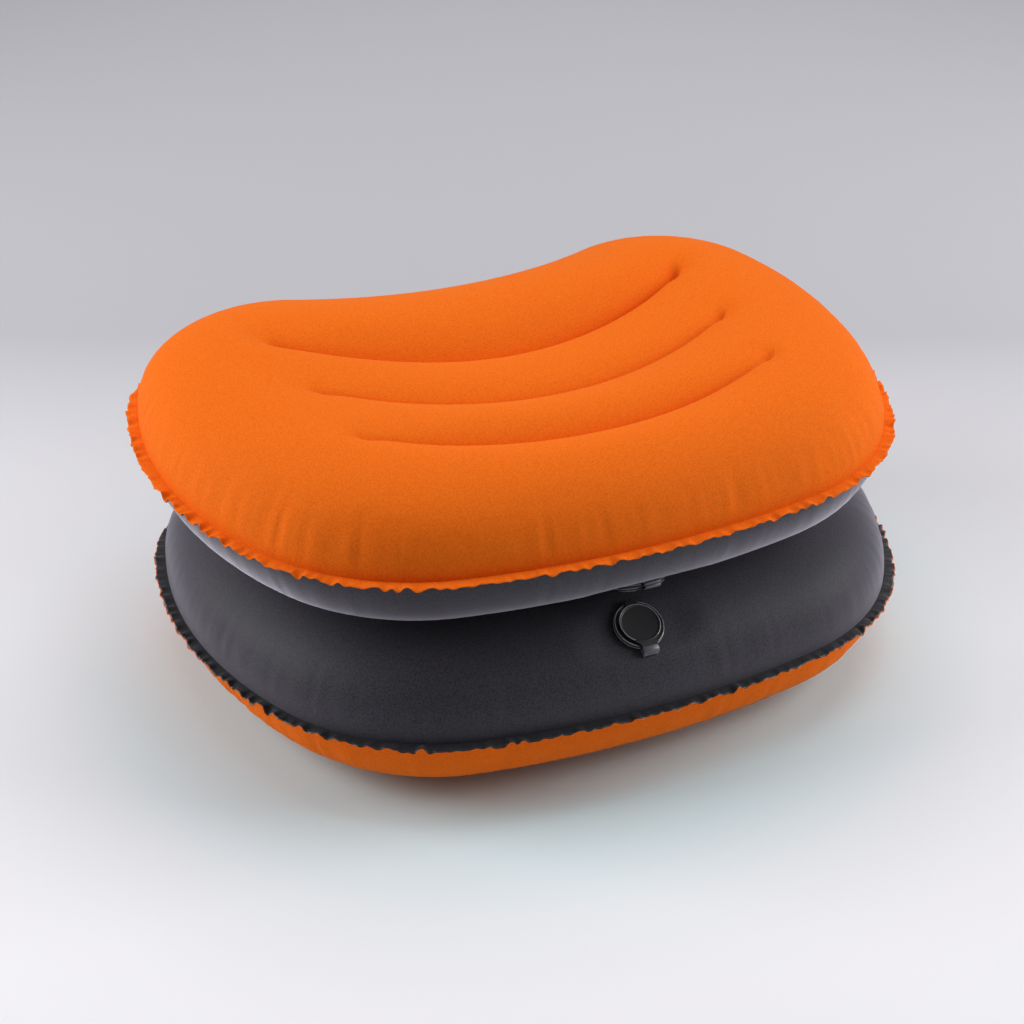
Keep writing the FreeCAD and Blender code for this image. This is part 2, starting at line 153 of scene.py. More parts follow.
# ---------------------------------------------------------------- camera
AZIMUTH, ELEVATION, DISTANCE = -23.7, 31.2, 1.0595
LOOK_AT = Vector((-0.0036, 0.0255, 0.0635))


def direction(azimuth, elevation):
    """Unit vector from the object towards an azimuth and elevation in degrees."""
    a, e = math.radians(azimuth), math.radians(elevation)
    return Vector((math.sin(a) * math.cos(e), -math.cos(a) * math.cos(e), math.sin(e)))


def make_camera():
    """The camera that the stage and the lights are arranged for."""
    data = bpy.data.cameras.new("camera")
    data.sensor_width = 36.0
    data.lens = 63.28
    camera = bpy.data.objects.new("camera", data)
    bpy.context.scene.collection.objects.link(camera)
    back = direction(AZIMUTH, ELEVATION)
    camera.location = LOOK_AT + back * DISTANCE
    camera.rotation_euler = (-back).to_track_quat("-Z", "Y").to_euler()
    bpy.context.scene.camera = camera


# ---------------------------------------------------------------- inflated form
SHAPES = {
    ("upper", "face"): {"reach": 88.0, "rise": 46.0, "power": 2.45},
    ("lower", "face"): {"reach": 83.0, "rise": 48.9, "power": 2.5},
    ("upper", "back"): {"reach": 75.0, "rise": 45.0, "power": 2.5},
    ("lower", "back"): {"reach": 75.0, "rise": 45.0, "power": 2.5},
}
DISH = {"depth": 12.0, "half_x": 110.0, "half_back": 52.0, "half_front": 92.0, "middle_y": -15.0}
GROOVES = [
    {"half": 127, "front": 7.5, "radius": 216, "floor": 20.8, "ends": 37},
    {"half": 123, "front": -50.5, "radius": 234, "floor": 26.5, "ends": 40},
    {"half": 120, "front": -101, "radius": 284, "floor": 27, "ends": 42},
]
# How far a groove pulls the face down beside it and how round that is, the pinch at its ends, its
# crease, and how its floor climbs to its ends.
GROOVE_REACH, TUBE_POWER = 28.0, 1.65
PINCH, PINCH_WIDTH, PINCH_INSIDE = 2.4, 6.5, 3
CREASE, CREASE_WIDTH = 1.5, 1.8
FLOOR_POWER, PAST_END_FACTOR = 2.2, 1.3
# The flat pattern's mesh: its point spacing, the rings along the rim, and the rows beside a crease.
SPACING, RING_STEP, RINGS = 2.7, 0.93, 15
CREASE_ROWS = (-2.6, -1.2, 0.0, 1.2, 2.6)


def section(shape, inset):
    """Height over the seam at an inset from the seam."""
    share = np.clip(1 - inset / shape["reach"], 0, 1)
    return shape["rise"] * (1 - share ** shape["power"]) ** (1 / shape["power"])


def unrolled(shape):
    """Tables of inset against the fabric's own length from the seam, and the extra length."""
    angle = np.linspace(0, math.pi / 2, 600)
    inset = shape["reach"] * (1 - np.cos(angle))
    height = section(shape, inset)
    length = np.concatenate([[0], np.cumsum(np.hypot(np.diff(inset), np.diff(height)))])
    return inset, length, length[-1] - shape["reach"]


def nearest(points, inset=0.0):
    """For each point: distance inside the outline moved in by inset, outward normal, place along it."""
    line = RIM - RIM_NORMAL * inset
    inside = np.empty(len(points))
    pick = np.empty(len(points), int)
    for start in range(0, len(points), 2000):
        part = points[start:start + 2000]
        gap = part[:, None] - line[None]
        near = np.argmin((gap ** 2).sum(2), 1)
        rows = np.arange(len(part))
        inside[start:start + 2000] = -(gap[rows, near] * RIM_NORMAL[near]).sum(1)
        pick[start:start + 2000] = near
    return inside, RIM_NORMAL[pick], pick * RIM_LENGTH / DENSE


def groove_line(groove, step, offset=0.0):
    """Points along one groove, or beside it at an offset, from its left end to its right."""
    reach = math.asin(groove["half"] / groove["radius"])
    radius = groove["radius"] + offset
    count = int(2 * reach * radius / step) + 1
    angle = np.linspace(-reach, reach, count)
    middle = groove["front"] + groove["radius"]
    return np.stack([radius * np.sin(angle), middle - radius * np.cos(angle)], 1)


def flat_points(shape, grooves):
    """Points of the fabric's flat pattern: rings along the rim, rows along the grooves and a fill."""
    extra = unrolled(shape)[2]
    line, normal, _ = outline(int(RIM_LENGTH / SPACING))
    rim = line - normal * FLANGE
    step = SPACING * RING_STEP
    rings = [rim + normal * (extra - step * k) for k in range(RINGS)]
    fill_from = step * (RINGS - 1) + SPACING * 0.6
    rows = [groove_line(groove, SPACING, offset)
            for groove in grooves for offset in CREASE_ROWS]
    grid_x, grid_y = np.meshgrid(np.arange(-240, 240, SPACING),
                                 np.arange(-210, 200, SPACING * math.sqrt(3) / 2))
    grid_x = grid_x + (np.arange(len(grid_x)) % 2)[:, None] * SPACING / 2
    fill = np.stack([grid_x.ravel(), grid_y.ravel()], 1)
    inside, _, _ = nearest(fill, FLANGE)
    fill = fill[inside + extra > fill_from]
    for row in rows:
        gap = np.min(((fill[:, None] - row[None]) ** 2).sum(2), 1)
        fill = fill[gap > (SPACING * 0.7) ** 2]
    return np.concatenate(rings + rows + [fill])


def triangles(points, shape):
    """Delaunay triangles of the flat pattern, without those across the hollow of the back edge."""
    made = geometry.delaunay_2d_cdt([Vector(p) for p in points], [], [], 0, 1e-5)
    flat = np.array([v[:] for v in made[0]])
    faces = np.array(made[2])
    inside, _, _ = nearest(flat[faces].mean(1), FLANGE)
    return flat, faces[inside + unrolled(shape)[2] > 0.02]


def form_from_flat(flat, shape):
    """The inflated form before dish and grooves: plan, height, inset from the seam, place along it."""
    inset_table, length_table, extra = unrolled(shape)
    inside, normal, run = nearest(flat, FLANGE)
    length = inside + extra
    inset = np.where(length > length_table[-1], inside, np.interp(length, length_table, inset_table))
    plan = flat - normal * (inset - inside)[:, None]
    return plan, section(shape, inset), np.clip(inset, 0, None), normal, run


def groove_drop(plan, height):
    """How far the face is pulled down at each point by the dish and the three grooves."""
    x, y = plan.T
    behind = y - DISH["middle_y"]
    off = np.where(behind > 0, behind / DISH["half_back"], behind / DISH["half_front"])
    drop = DISH["depth"] * np.exp(-(x / DISH["half_x"]) ** 2 - off ** 2)
    level = height - drop
    pulled = np.zeros(len(x))
    for groove in GROOVES:
        middle_y = groove["front"] + groove["radius"]
        across = groove["radius"] - np.hypot(x, y - middle_y)
        along = np.abs(x) / groove["half"]
        past = np.clip(along - 1, 0, None) * groove["half"]
        floor = groove["floor"] + (groove["ends"] - groove["floor"]) * np.clip(along, 0, 1) ** FLOOR_POWER
        deep = np.clip(level - floor, 0, None)
        reach = np.clip(np.hypot(across, PAST_END_FACTOR * past) / GROOVE_REACH, 0, 1)
        valley = 1 - (1 - (1 - reach) ** TUBE_POWER) ** (1 / TUBE_POWER)
        spot = np.hypot(across, np.abs(x) - groove["half"] + PINCH_INSIDE)
        pinch = PINCH * np.exp(-(spot / PINCH_WIDTH) ** 2) * (1 + 0.3 * np.cos(3 * np.arctan2(across, x)))
        crease = CREASE * np.exp(-(np.hypot(across, past) / CREASE_WIDTH) ** 2)
        pulled = np.maximum(pulled, deep * valley + pinch + crease)
    return drop + pulled


# ---------------------------------------------------------------- waves of the rim
def waves(run, lengths, seed):
    """A smooth uneven wave along the rim, -1..1, with wavelengths in mm."""
    turn = run / RIM_LENGTH * 2 * math.pi
    value = np.zeros(len(run))
    for k, wavelength in enumerate(lengths):
        cycles = round(RIM_LENGTH / wavelength)
        drift = 1.8 * np.sin(3 * turn + seed + k) + 1.3 * np.sin(7 * turn + 2.3 * seed + 2 * k)
        value += np.sin(cycles * turn + drift + seed * (k + 1)) / (1 + 0.45 * k)
    return value / sum(1 / (1 + 0.45 * k) for k in range(len(lengths)))


def end_share(x):
    """0 along the long front and back edges, 1 round the tightly curved ends."""
    return np.clip((np.abs(x) - 110) / 85, 0, 1)


def rim_wave(which, run):
    """The ripple that the flange and the fabric beside it share."""
    seed = {"upper": 1.3, "lower": 2.9}[which]
    ripple = waves(run, (15, 9.5, 6.5), seed)
    swell = 0.65 + 0.5 * waves(run, (90, 47), seed + 1)
    return np.sign(ripple) * np.abs(ripple) ** 0.75 * swell


PUCKER_SIZE = {"face": 1.0, "back": 0.35}
PUCKER_LEAN = 30


def puckers(which, side, run, inset, x):
    """Short radial creases beside the seam, as a push along the fabric's normal."""
    seed = {"upper": 0.7, "lower": 2.1}[which]
    phase = waves(run, (19, 12, 8), seed)
    crease = 1 - np.abs(phase) ** 0.42
    patchy = np.clip(0.6 + 0.9 * waves(run, (120, 70), seed + 2), 0.25, 1.3)
    fade = np.exp(-inset / (4.0 + 3.0 * patchy)) * (1 - np.exp(-inset / 1.4))
    size = PUCKER_SIZE[side] * (2.1 + 0.6 * end_share(x))
    return -size * crease * patchy * fade + 0.35 * size * rim_wave(which, run) * fade


# ---------------------------------------------------------------- valve's dimple in the back
DIMPLE_FLAT, DIMPLE_REACH, DIMPLE_SHIFT, DIMPLE_UNDER, VALVE_HOLE = 18.0, 40.0, 4.0, 0.15, 11.0


def valve_axis(which, place):
    """Where a valve stands, and which way it points, in its pillow's own frame."""
    to_own = place.inverted() @ valve_place(which)
    origin = to_own @ Vector((0, 0, 0)) / MM
    return origin, (to_own.to_3x3() @ Vector((0, 0, 1))).normalized()


def dimple(which, place, plan, height):
    """Pull the back down to the plane that the valve stands on, fading out round it."""
    origin, out = valve_axis(which, place)
    x, y = plan.T
    plane = -(origin.z + (out.x * (origin.x - x) + out.y * (origin.y - y)) / out.z)
    gap = np.hypot(x - origin.x, y - origin.y + DIMPLE_SHIFT)
    share = np.clip((DIMPLE_REACH - gap) / (DIMPLE_REACH - DIMPLE_FLAT), 0, 1)
    share = share * share * (3 - 2 * share)
    return np.clip(height - plane + DIMPLE_UNDER, 0, None) * share


def outside_hole(which, place, points, faces):
    """The faces that are left once the valve's hole is cut."""
    origin, out = valve_axis(which, place)
    middle = points[faces].mean(1) - np.array(origin)
    along = middle @ np.array(out)
    across = np.linalg.norm(middle - along[:, None] * np.array(out), axis=1)
    return faces[across > VALVE_HOLE]


# ---------------------------------------------------------------- inflation
# A short cloth simulation that lets a face settle under pressure: frames, most that a point moves,
# pressure, and how far from the seam and from a crease line the fabric is still held.
SETTLE_FRAMES, SETTLE_REACH, PRESSURE = 12, 2.4, 4.0
HELD_SEAM, HELD_CREASE, HELD_PAST_END = 0.6, 1.5, 2


def held_points(plan, inset):
    """True at the seam and along the creases, where the cloth is held."""
    held = inset < HELD_SEAM
    for groove in GROOVES:
        middle_y = groove["front"] + groove["radius"]
        across = groove["radius"] - np.hypot(plan[:, 0], plan[:, 1] - middle_y)
        within = np.abs(plan[:, 0]) < groove["half"] + HELD_PAST_END
        held = held | ((np.abs(across) < HELD_CREASE) & within)
    return held


def settle(skin, flat, held):
    """Inflate a face from its flat pattern for a few frames, held at seam and creases, moves capped."""
    mesh = skin.data
    start = np.empty(len(mesh.vertices) * 3)
    mesh.vertices.foreach_get("co", start)
    start = start.reshape(-1, 3)
    skin.shape_key_add(name="Basis")
    pattern = skin.shape_key_add(name="pattern")
    cut = np.column_stack([flat, np.zeros(len(flat))]) * MM
    pattern.data.foreach_set("co", cut.ravel())
    group = skin.vertex_groups.new(name="held")
    group.add(np.nonzero(held)[0].tolist(), 1.0, "REPLACE")
    cloth = skin.modifiers.new("cloth", "CLOTH")
    cloth.settings.quality = 6
    cloth.settings.mass = 0.1
    cloth.settings.tension_stiffness = 20
    cloth.settings.compression_stiffness = 8
    cloth.settings.shear_stiffness = 5
    cloth.settings.bending_stiffness = 0.05
    cloth.settings.air_damping = 4
    cloth.settings.vertex_group_mass = "held"
    cloth.settings.rest_shape_key = pattern
    cloth.settings.use_pressure = True
    cloth.settings.uniform_pressure_force = PRESSURE
    cloth.settings.effector_weights.gravity = 0
    cloth.collision_settings.use_collision = False
    for number in range(1, SETTLE_FRAMES + 1):
        bpy.context.scene.frame_set(number)
    shape = skin.evaluated_get(bpy.context.evaluated_depsgraph_get()).to_mesh()
    moved = np.empty(len(mesh.vertices) * 3)
    shape.vertices.foreach_get("co", moved)
    moved = moved.reshape(-1, 3) - start
    far = np.linalg.norm(moved, axis=1)
    reach = SETTLE_REACH * MM
    moved *= (reach * np.tanh(far / reach) / np.maximum(far, 1e-9))[:, None]
    skin.modifiers.remove(cloth)
    skin.shape_key_clear()
    skin.vertex_groups.clear()
    mesh.vertices.foreach_set("co", (start + moved).ravel())
    mesh.update()
    bpy.context.scene.frame_set(1)


# ---------------------------------------------------------------- panels
def panel(which, side, place):
    """One inflated panel as a mesh object in the row frame."""
    shape = SHAPES[which, side]
    flat, faces = triangles(flat_points(shape, GROOVES if side == "face" else []), shape)
    plan, height, inset, normal, run = form_from_flat(flat, shape)
    push = puckers(which, side, run, inset, plan[:, 0])
    lean = np.clip(1 - inset / PUCKER_LEAN, 0, 1)
    plan = plan + normal * (push * lean)[:, None]
    height = height + push * (1 - 0.6 * lean)
    if side == "face":
        height = height - groove_drop(plan, height)
    else:
        height = height - dimple(which, place, plan, height)
    height = np.where(inset < 0.01, 0, np.clip(height, 0, None))
    up = 1 if side == "face" else -1
    points = np.column_stack([plan, height * up])
    if side == "back":
        faces = outside_hole(which, place, points, faces)
    order = faces if up > 0 else faces[:, ::-1]
    mesh = bpy.data.meshes.new(f"{which}_{side}_skin")
    mesh.from_pydata((points * MM).tolist(), [], order.tolist())
    mesh.update()
    mesh.transform(place)
    mesh.shade_smooth()
    skin = bpy.data.objects.new(f"{which}_{side}_skin", mesh)
    bpy.context.scene.collection.objects.link(skin)
    if which == "upper" and side == "face":
        settle(skin, flat, held_points(plan, inset))
    return skin


# ---------------------------------------------------------------- flange
FLANGE_ROWS = np.array([-1.0, 0.0, 1.2, 2.4, 3.6, 4.8, FLANGE])
FILM = 0.35
RIM_COUNT = 2400


def flange(which, place):
    """The ruffled double rim: a strip of face fabric and a strip of back fabric, welded together."""
    count = RIM_COUNT
    line, normal, total = outline(count)
    run = np.arange(count) / count * total
    size = 1.5 + 1.2 * end_share(line[:, 0])
    edge = waves(run, (23, 9, 5.5), 0.4)
    objects = []
    for layer, low, more in (("face", 0.0, 0.35), ("back", -FILM, 0.0)):
        sheets = []
        for level in (low, low + FILM):
            for row in FLANGE_ROWS:
                share = max(row, 0) / FLANGE
                reach = row - FLANGE + share * (0.8 * edge + more)
                tilt = share ** 1.2 * size * rim_wave(which, run)
                sheets.append(np.column_stack([line + normal * reach[:, None], level + tilt]))
        wide, top = len(FLANGE_ROWS), len(FLANGE_ROWS) * count
        faces = []
        for i in range(count):
            j = (i + 1) % count
            for k in range(wide - 1):
                quad = (k * count + i, (k + 1) * count + i, (k + 1) * count + j, k * count + j)
                faces.append(quad[::-1])
                faces.append(tuple(corner + top for corner in quad))
            outer = (wide - 1) * count
            faces.append((outer + j, outer + i, outer + top + i, outer + top + j)[::-1])
            faces.append((j, i, top + i, top + j))
        mesh = bpy.data.meshes.new(f"{which}_{layer}_rim")
        mesh.from_pydata((np.concatenate(sheets) * MM).tolist(), [], faces)
        mesh.update()
        mesh.shade_smooth()
        mesh.transform(place)
        rim = bpy.data.objects.new(f"{which}_{layer}_rim", mesh)
        bpy.context.scene.collection.objects.link(rim)
        objects.append(rim)
    return objects


# ---------------------------------------------------------------- materials
def new_material(name, colour, roughness):
    """A material with its shader's colour and roughness set."""
    material = bpy.data.materials.new(name)
    material.use_nodes = True
    shader = material.node_tree.nodes["Principled BSDF"]
    shader.inputs["Base Color"].default_value = (*colour, 1)
    shader.inputs["Roughness"].default_value = roughness
    return material, shader


def noise_texture(material, scale, detail):
    """A noise in the object's own coordinates."""
    nodes, links = material.node_tree.nodes, material.node_tree.links
    where = nodes.new("ShaderNodeTexCoord")
    grain = nodes.new("ShaderNodeTexNoise")
    grain.inputs["Scale"].default_value = scale
    grain.inputs["Detail"].default_value = detail
    links.new(where.outputs["Object"], grain.inputs["Vector"])
    return grain.outputs["Fac"]


def blended_colour(material, factor, low, high, dark, light):
    """A colour between dark and light as the factor goes from low to high."""
    nodes, links = material.node_tree.nodes, material.node_tree.links
    spread = nodes.new("ShaderNodeMapRange")
    spread.inputs["From Min"].default_value = low
    spread.inputs["From Max"].default_value = high
    links.new(factor, spread.inputs["Value"])
    mix = nodes.new("ShaderNodeMix")
    mix.data_type = "RGBA"
    mix.inputs["A"].default_value = (*dark, 1)
    mix.inputs["B"].default_value = (*light, 1)
    links.new(spread.outputs["Result"], mix.inputs["Factor"])
    return mix.outputs["Result"]


def bump(material, shader, height, strength, depth):
    """Raise the shader's surface by a height, in metres of depth."""
    nodes, links = material.node_tree.nodes, material.node_tree.links
    relief = nodes.new("ShaderNodeBump")
    relief.inputs["Strength"].default_value = strength
    relief.inputs["Distance"].default_value = depth
    links.new(height, relief.inputs["Height"])
    links.new(relief.outputs["Normal"], shader.inputs["Normal"])


def fabric(name, colour, dark, sheen, tint, roughness, gloss):
    """Brushed laminate: a fine speckle in the colour, a soft nap in the bump and a sheen."""
    material, shader = new_material(name, colour, roughness)
    speckle = noise_texture(material, 1100, 3)
    colours = blended_colour(material, speckle, 0.35, 0.6, dark, colour)
    material.node_tree.links.new(colours, shader.inputs["Base Color"])
    bump(material, shader, speckle, 0.35, 0.0003)
    shader.inputs["Sheen Weight"].default_value = sheen
    shader.inputs["Sheen Roughness"].default_value = 0.4
    shader.inputs["Sheen Tint"].default_value = (*tint, 1)
    shader.inputs["Specular IOR Level"].default_value = gloss
    return material


def moulded(name, colour, roughness):
    """Satin moulded plastic: a faint grain in the roughness and the bump."""
    material, shader = new_material(name, colour, roughness)
    grain = noise_texture(material, 4000, 2)
    spread = material.node_tree.nodes.new("ShaderNodeMapRange")
    spread.inputs["To Min"].default_value = roughness - 0.06
    spread.inputs["To Max"].default_value = roughness + 0.08
    material.node_tree.links.new(grain, spread.inputs["Value"])
    material.node_tree.links.new(spread.outputs["Result"], shader.inputs["Roughness"])
    bump(material, shader, grain, 0.08, 0.0001)
    shader.inputs["Specular IOR Level"].default_value = 0.6
    return material


def clear_film():
    """Translucent film of the tie strips and the valve's flap, faintly cloudy."""
    material, shader = new_material("clear_film", (0.7, 0.71, 0.73), 0.3)
    cloud = noise_texture(material, 300, 3)
    colours = blended_colour(material, cloud, 0.3, 0.7, (0.58, 0.59, 0.61), (0.74, 0.75, 0.77))
    material.node_tree.links.new(colours, shader.inputs["Base Color"])
    shader.inputs["Transmission Weight"].default_value = 0.35
    return material


ORANGE = fabric("orange_fabric", (0.90, 0.165, 0.008), (0.78, 0.133, 0.005),
                0.12, (1.0, 0.45, 0.10), 0.8, 0.08)
GREY = fabric("grey_fabric", (0.036, 0.033, 0.043), (0.014, 0.013, 0.018),
              1.0, (0.92, 0.87, 1.0), 0.6, 0.3)
BLACK_RIM = fabric("black_rim", (0.016, 0.015, 0.018), (0.009, 0.009, 0.011),
                   0.3, (0.7, 0.7, 0.8), 0.38, 0.5)
VALVE_BLACK = moulded("valve_black", (0.013, 0.013, 0.015), 0.38)
STRAP_BLACK = moulded("strap_black", (0.11, 0.105, 0.125), 0.34)
# Light grey of the fine beads round the valve's rims: a painted highlight along the rims' edges.
HIGHLIGHT_GREY = moulded("painted_highlight_grey", (0.34, 0.34, 0.36), 0.3)
CLEAR_FILM = clear_film()


# ---------------------------------------------------------------- valve pieces, in the valve's frame
STRAP_HALF, STRAP_GAUGE = 4.35, 0.75
CAP_PROFILE = [(0, 4.1), (9.7, 4.1), (10.0, 4.45), (10.7, 4.45), (11.0, 4.2), (11.0, 3.02),
               (4.95, 3.02), (4.95, 2.1), (4.6, 1.7), (0, 1.7)]
RING_PROFILE = [(5.0, -0.8), (8.5, -0.8), (8.93, 0.1), (8.93, 1.6), (12.95, 1.6), (13.2, 1.85),
                (13.2, 2.7), (12.95, 2.95), (12.3, 2.95), (12.0, 2.7), (5.0, 2.7)]
BASE_PROFILE = [(9.0, -1.5), (16, -1.5), (16, -0.7), (11.4, -0.7), (11.4, 0.05), (13.2, 0.05),
                (13.5, 0.3), (13.5, 1.2), (13.2, 1.5), (9.0, 1.5)]


def softened(profile, closed, radius=0.16):
    """The same profile with each corner turned into a short curve."""
    corners = [Vector(p) for p in profile]
    count = len(corners)
    points = []
    for i, corner in enumerate(corners):
        if not closed and i in (0, count - 1):
            points.append(corner)
            continue
        before, after = corners[i - 1] - corner, corners[(i + 1) % count] - corner
        start = corner + before.normalized() * min(radius, before.length / 2)
        end = corner + after.normalized() * min(radius, after.length / 2)
        for share in (0, 0.33, 0.67, 1):
            points.append(start.lerp(corner, share).lerp(corner.lerp(end, share), share))
    return points


def turned(mesh, profile, count=120):
    """Add a profile of (radius, level) pairs, turned about the valve's axis, to a bmesh."""
    closed = profile[0][0] > 0
    rings = []
    for radius, level in softened(profile, closed):
        if radius < 1e-6:
            rings.append([mesh.verts.new((0, 0, level))] * count)
            continue
        angles = [k / count * 2 * math.pi for k in range(count)]
        rings.append([mesh.verts.new((radius * math.cos(a), radius * math.sin(a), level)) for a in angles])
    pairs = list(zip(rings, rings[1:])) + ([(rings[-1], rings[0])] if closed else [])
    for one, two in pairs:
        for k in range(count):
            corners = [one[k], one[(k + 1) % count], two[(k + 1) % count], two[k]]
            corners = [c for i, c in enumerate(corners) if c not in corners[:i]]
            mesh.faces.new(corners)


def tongue(mesh, plan, low, high):
    """Add a flat tongue with a plan of (x, y) corners, with softened edges, to a bmesh."""
    outline_points = softened(plan, True, 0.6)
    edge = 0.2
    middle = Vector((sum(p.x for p in outline_points), sum(p.y for p in outline_points)))
    middle /= len(outline_points)
    layers = []
    for level, shrink in ((low, edge), (low + edge, 0), (high - edge, 0), (high, edge)):
        layer = []
        for point in outline_points:
            pull = (middle - point).normalized() * shrink
            layer.append(mesh.verts.new((point.x + pull.x, point.y + pull.y, level)))
        layers.append(layer)
    count = len(outline_points)
    for one, two in zip(layers, layers[1:]):
        for k in range(count):
            mesh.faces.new((one[k], one[(k + 1) % count], two[(k + 1) % count], two[k]))
    mesh.faces.new(layers[0][::-1])
    mesh.faces.new(layers[-1])


def flared(front, back, flare):
    """Plan of a tongue that widens towards the disc it grows from."""
    half = STRAP_HALF
    return [(-half, front), (half, front), (half, back - 2.2), (half + flare * 0.3, back - 1.0),
            (half + flare, back), (-half - flare, back), (-half - flare * 0.3, back - 1.0),
            (-half, back - 2.2)]


def rectangle(half, front, back):
    """A rectangular plan, half to each side, from front to back."""
    return [(-half, front), (half, front), (half, back), (-half, back)]


def valve_object(name, mesh, place, material):
    """An object in the row frame from a bmesh in the valve's frame."""
    bmesh.ops.recalc_face_normals(mesh, faces=mesh.faces)
    data = bpy.data.meshes.new(name)
    mesh.to_mesh(data)
    mesh.free()
    data.transform(place)
    data.materials.append(material)
    piece = bpy.data.objects.new(name, data)
    bpy.context.scene.collection.objects.link(piece)
    smooth_by_angle(data, 40)
    return piece


def smooth_by_angle(data, degrees):
    """Smooth shading with sharp edges kept where faces meet at more than an angle."""
    data.shade_smooth()
    edges = bmesh.new()
    edges.from_mesh(data)
    for edge in edges.edges:
        if len(edge.link_faces) == 2 and edge.calc_face_angle() > math.radians(degrees):
            edge.smooth = False
    edges.to_mesh(data)
    edges.free()


def band(name, path, place):
    """A strap: a path in the valve's middle plane, as wide as the strap, with a soft edge."""
    half = STRAP_HALF
    route = np.array(path, float)
    fine = np.linspace(0, 1, 33)
    knots = np.linspace(0, 1, len(route))
    smooth = np.stack([catmull(knots, route[:, k], fine) for k in (0, 1)], 1)
    along = np.gradient(smooth, axis=0)
    along /= np.linalg.norm(along, axis=1)[:, None]
    side = np.stack([along[:, 1], -along[:, 0]], 1)
    loop = [(-half, -0.25), (-half, 0.25), (-half + 0.3, 0.5), (half - 0.3, 0.5),
            (half, 0.25), (half, -0.25), (half - 0.3, -0.5), (-half + 0.3, -0.5)]
    mesh = bmesh.new()
    rings = []
    for spot, across in zip(smooth, side):
        ring = []
        for x, depth in loop:
            y, z = spot + across * depth * STRAP_GAUGE
            ring.append(mesh.verts.new((x, y, z)))
        rings.append(ring)
    for one, two in zip(rings, rings[1:]):
        for k in range(len(loop)):
            mesh.faces.new((one[k], one[(k + 1) % len(loop)], two[(k + 1) % len(loop)], two[k]))
    mesh.faces.new(rings[0][::-1])
    mesh.faces.new(rings[-1])
    return valve_object(name, mesh, place, STRAP_BLACK)


def catmull(knots, values, at):
    """A smooth curve through values at even knots."""
    slopes = np.gradient(values, knots)
    cell = np.clip(np.searchsorted(knots, at, side="right") - 1, 0, len(knots) - 2)
    width = knots[cell + 1] - knots[cell]
    t = (at - knots[cell]) / width
    a, b = values[cell], values[cell + 1]
    m, n = slopes[cell] * width, slopes[cell + 1] * width
    return ((2 * t ** 3 - 3 * t ** 2 + 1) * a + (t ** 3 - 2 * t ** 2 + t) * m
            + (3 * t ** 2 - 2 * t ** 3) * b + (t ** 3 - t ** 2) * n)


# The straps in side view, as (along the slope, out of the fabric).
CAP_BAND = [(-13.2, 3.75), (-14.4, 3.8), (-15.7, 3.6), (-16.5, 3.05),
            (-16.5, 2.4), (-15.6, 2.05), (-14.2, 2.1)]
RING_BAND = [(-13.9, 2.0), (-15.2, 1.9), (-16.5, 1.5), (-16.9, 0.9),
             (-16.2, 0.45), (-14.8, 0.5), (-13.3, 0.7)]


def highlight_bead(name, radius, level, gauge, gap, place, body):
    """A fine bead round a rim in light grey, a painted highlight along the rim's edge, open by an angle
    (degrees) each side of the strap, riding a body.
    """
    mesh = bmesh.new()
    around, across = 120, 8
    reach = 180 - gap
    rings = []
    for k in range(around + 1):
        a = math.radians(90 - reach + 2 * reach * k / around)
        ring = []
        for n in range(across):
            b = n / across * 2 * math.pi
            out = radius + gauge * math.cos(b)
            ring.append(mesh.verts.new((out * math.cos(a), out * math.sin(a), level + gauge * math.sin(b))))
        rings.append(ring)
    for one, two in zip(rings, rings[1:]):
        for n in range(across):
            mesh.faces.new((one[n], two[n], two[(n + 1) % across], one[(n + 1) % across]))
    mesh.faces.new(rings[0][::-1])
    mesh.faces.new(rings[-1])
    piece = valve_object(name, mesh, place, HIGHLIGHT_GREY)
    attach(piece, body)


def valve_base(which, place):
    """The collar on the fabric and the neck and flange under it."""
    mesh = bmesh.new()
    turned(mesh, BASE_PROFILE)
    piece = valve_object(f"{which}_valve_collar", mesh, place, VALVE_BLACK)
    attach(piece, which)
    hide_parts(f"{which}_valve_base")
    return piece


def deflation_ring(which, place):
    """The wide plug and its rim, with the strap's root and a lug opposite."""
    mesh = bmesh.new()
    turned(mesh, RING_PROFILE)
    tongue(mesh, flared(-14.6, -11.5, 2.2), 1.65, 2.65)
    tongue(mesh, rectangle(2.5, 12, 15.5), 1.7, 2.7)
    piece = valve_object(f"{which}_deflation_ring", mesh, place, VALVE_BLACK)
    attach(piece, f"{which}_plug")
    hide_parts(f"{which}_dump_ring")
    return piece


def inflation_cap(which, place):
    """The cap and its stub, with the strap's root and a pull tab opposite."""
    mesh = bmesh.new()
    turned(mesh, CAP_PROFILE)
    tongue(mesh, flared(-14.2, -9.4, 2.6), 3.1, 4.15)
    tongue(mesh, rectangle(3.5, 10, 13.2), 3.1, 4.1)
    piece = valve_object(f"{which}_inflation_cap", mesh, place, VALVE_BLACK)
    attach(piece, f"{which}_cap")
    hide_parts(f"{which}_inflate_cap")
    return piece


def straps(which, place):
    """The two living hinges, each a curved band in one fixed shape between the bodies it joins."""
    cap_band = band(f"{which}_cap_band", CAP_BAND, place)
    ring_band = band(f"{which}_ring_band", RING_BAND, place)
    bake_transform(ring_band)
    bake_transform(cap_band)
    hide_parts(f"{which}_ring_strap")
    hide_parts(f"{which}_cap_strap")
    return [ring_band, cap_band]


def make_valve(which):
    """One whole valve in three moulded pieces, two straps and three fine light grey beads that paint
    highlights along the rims.
    """
    place = valve_place(which)
    pieces = [valve_base(which, place), deflation_ring(which, place), inflation_cap(which, place)]
    for piece in pieces + straps(which, place):
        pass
    # Painted highlights: fine light grey beads along the edges of the cap, the ring and the collar.
    highlight_bead(f"{which}_cap_highlight_bead", 10.75, 4.38, 0.22, 36, place, f"{which}_cap")
    highlight_bead(f"{which}_ring_highlight_bead", 12.9, 2.88, 0.2, 28, place, f"{which}_plug")
    highlight_bead(f"{which}_collar_highlight_bead", 13.3, 1.3, 0.18, 20, place, which)


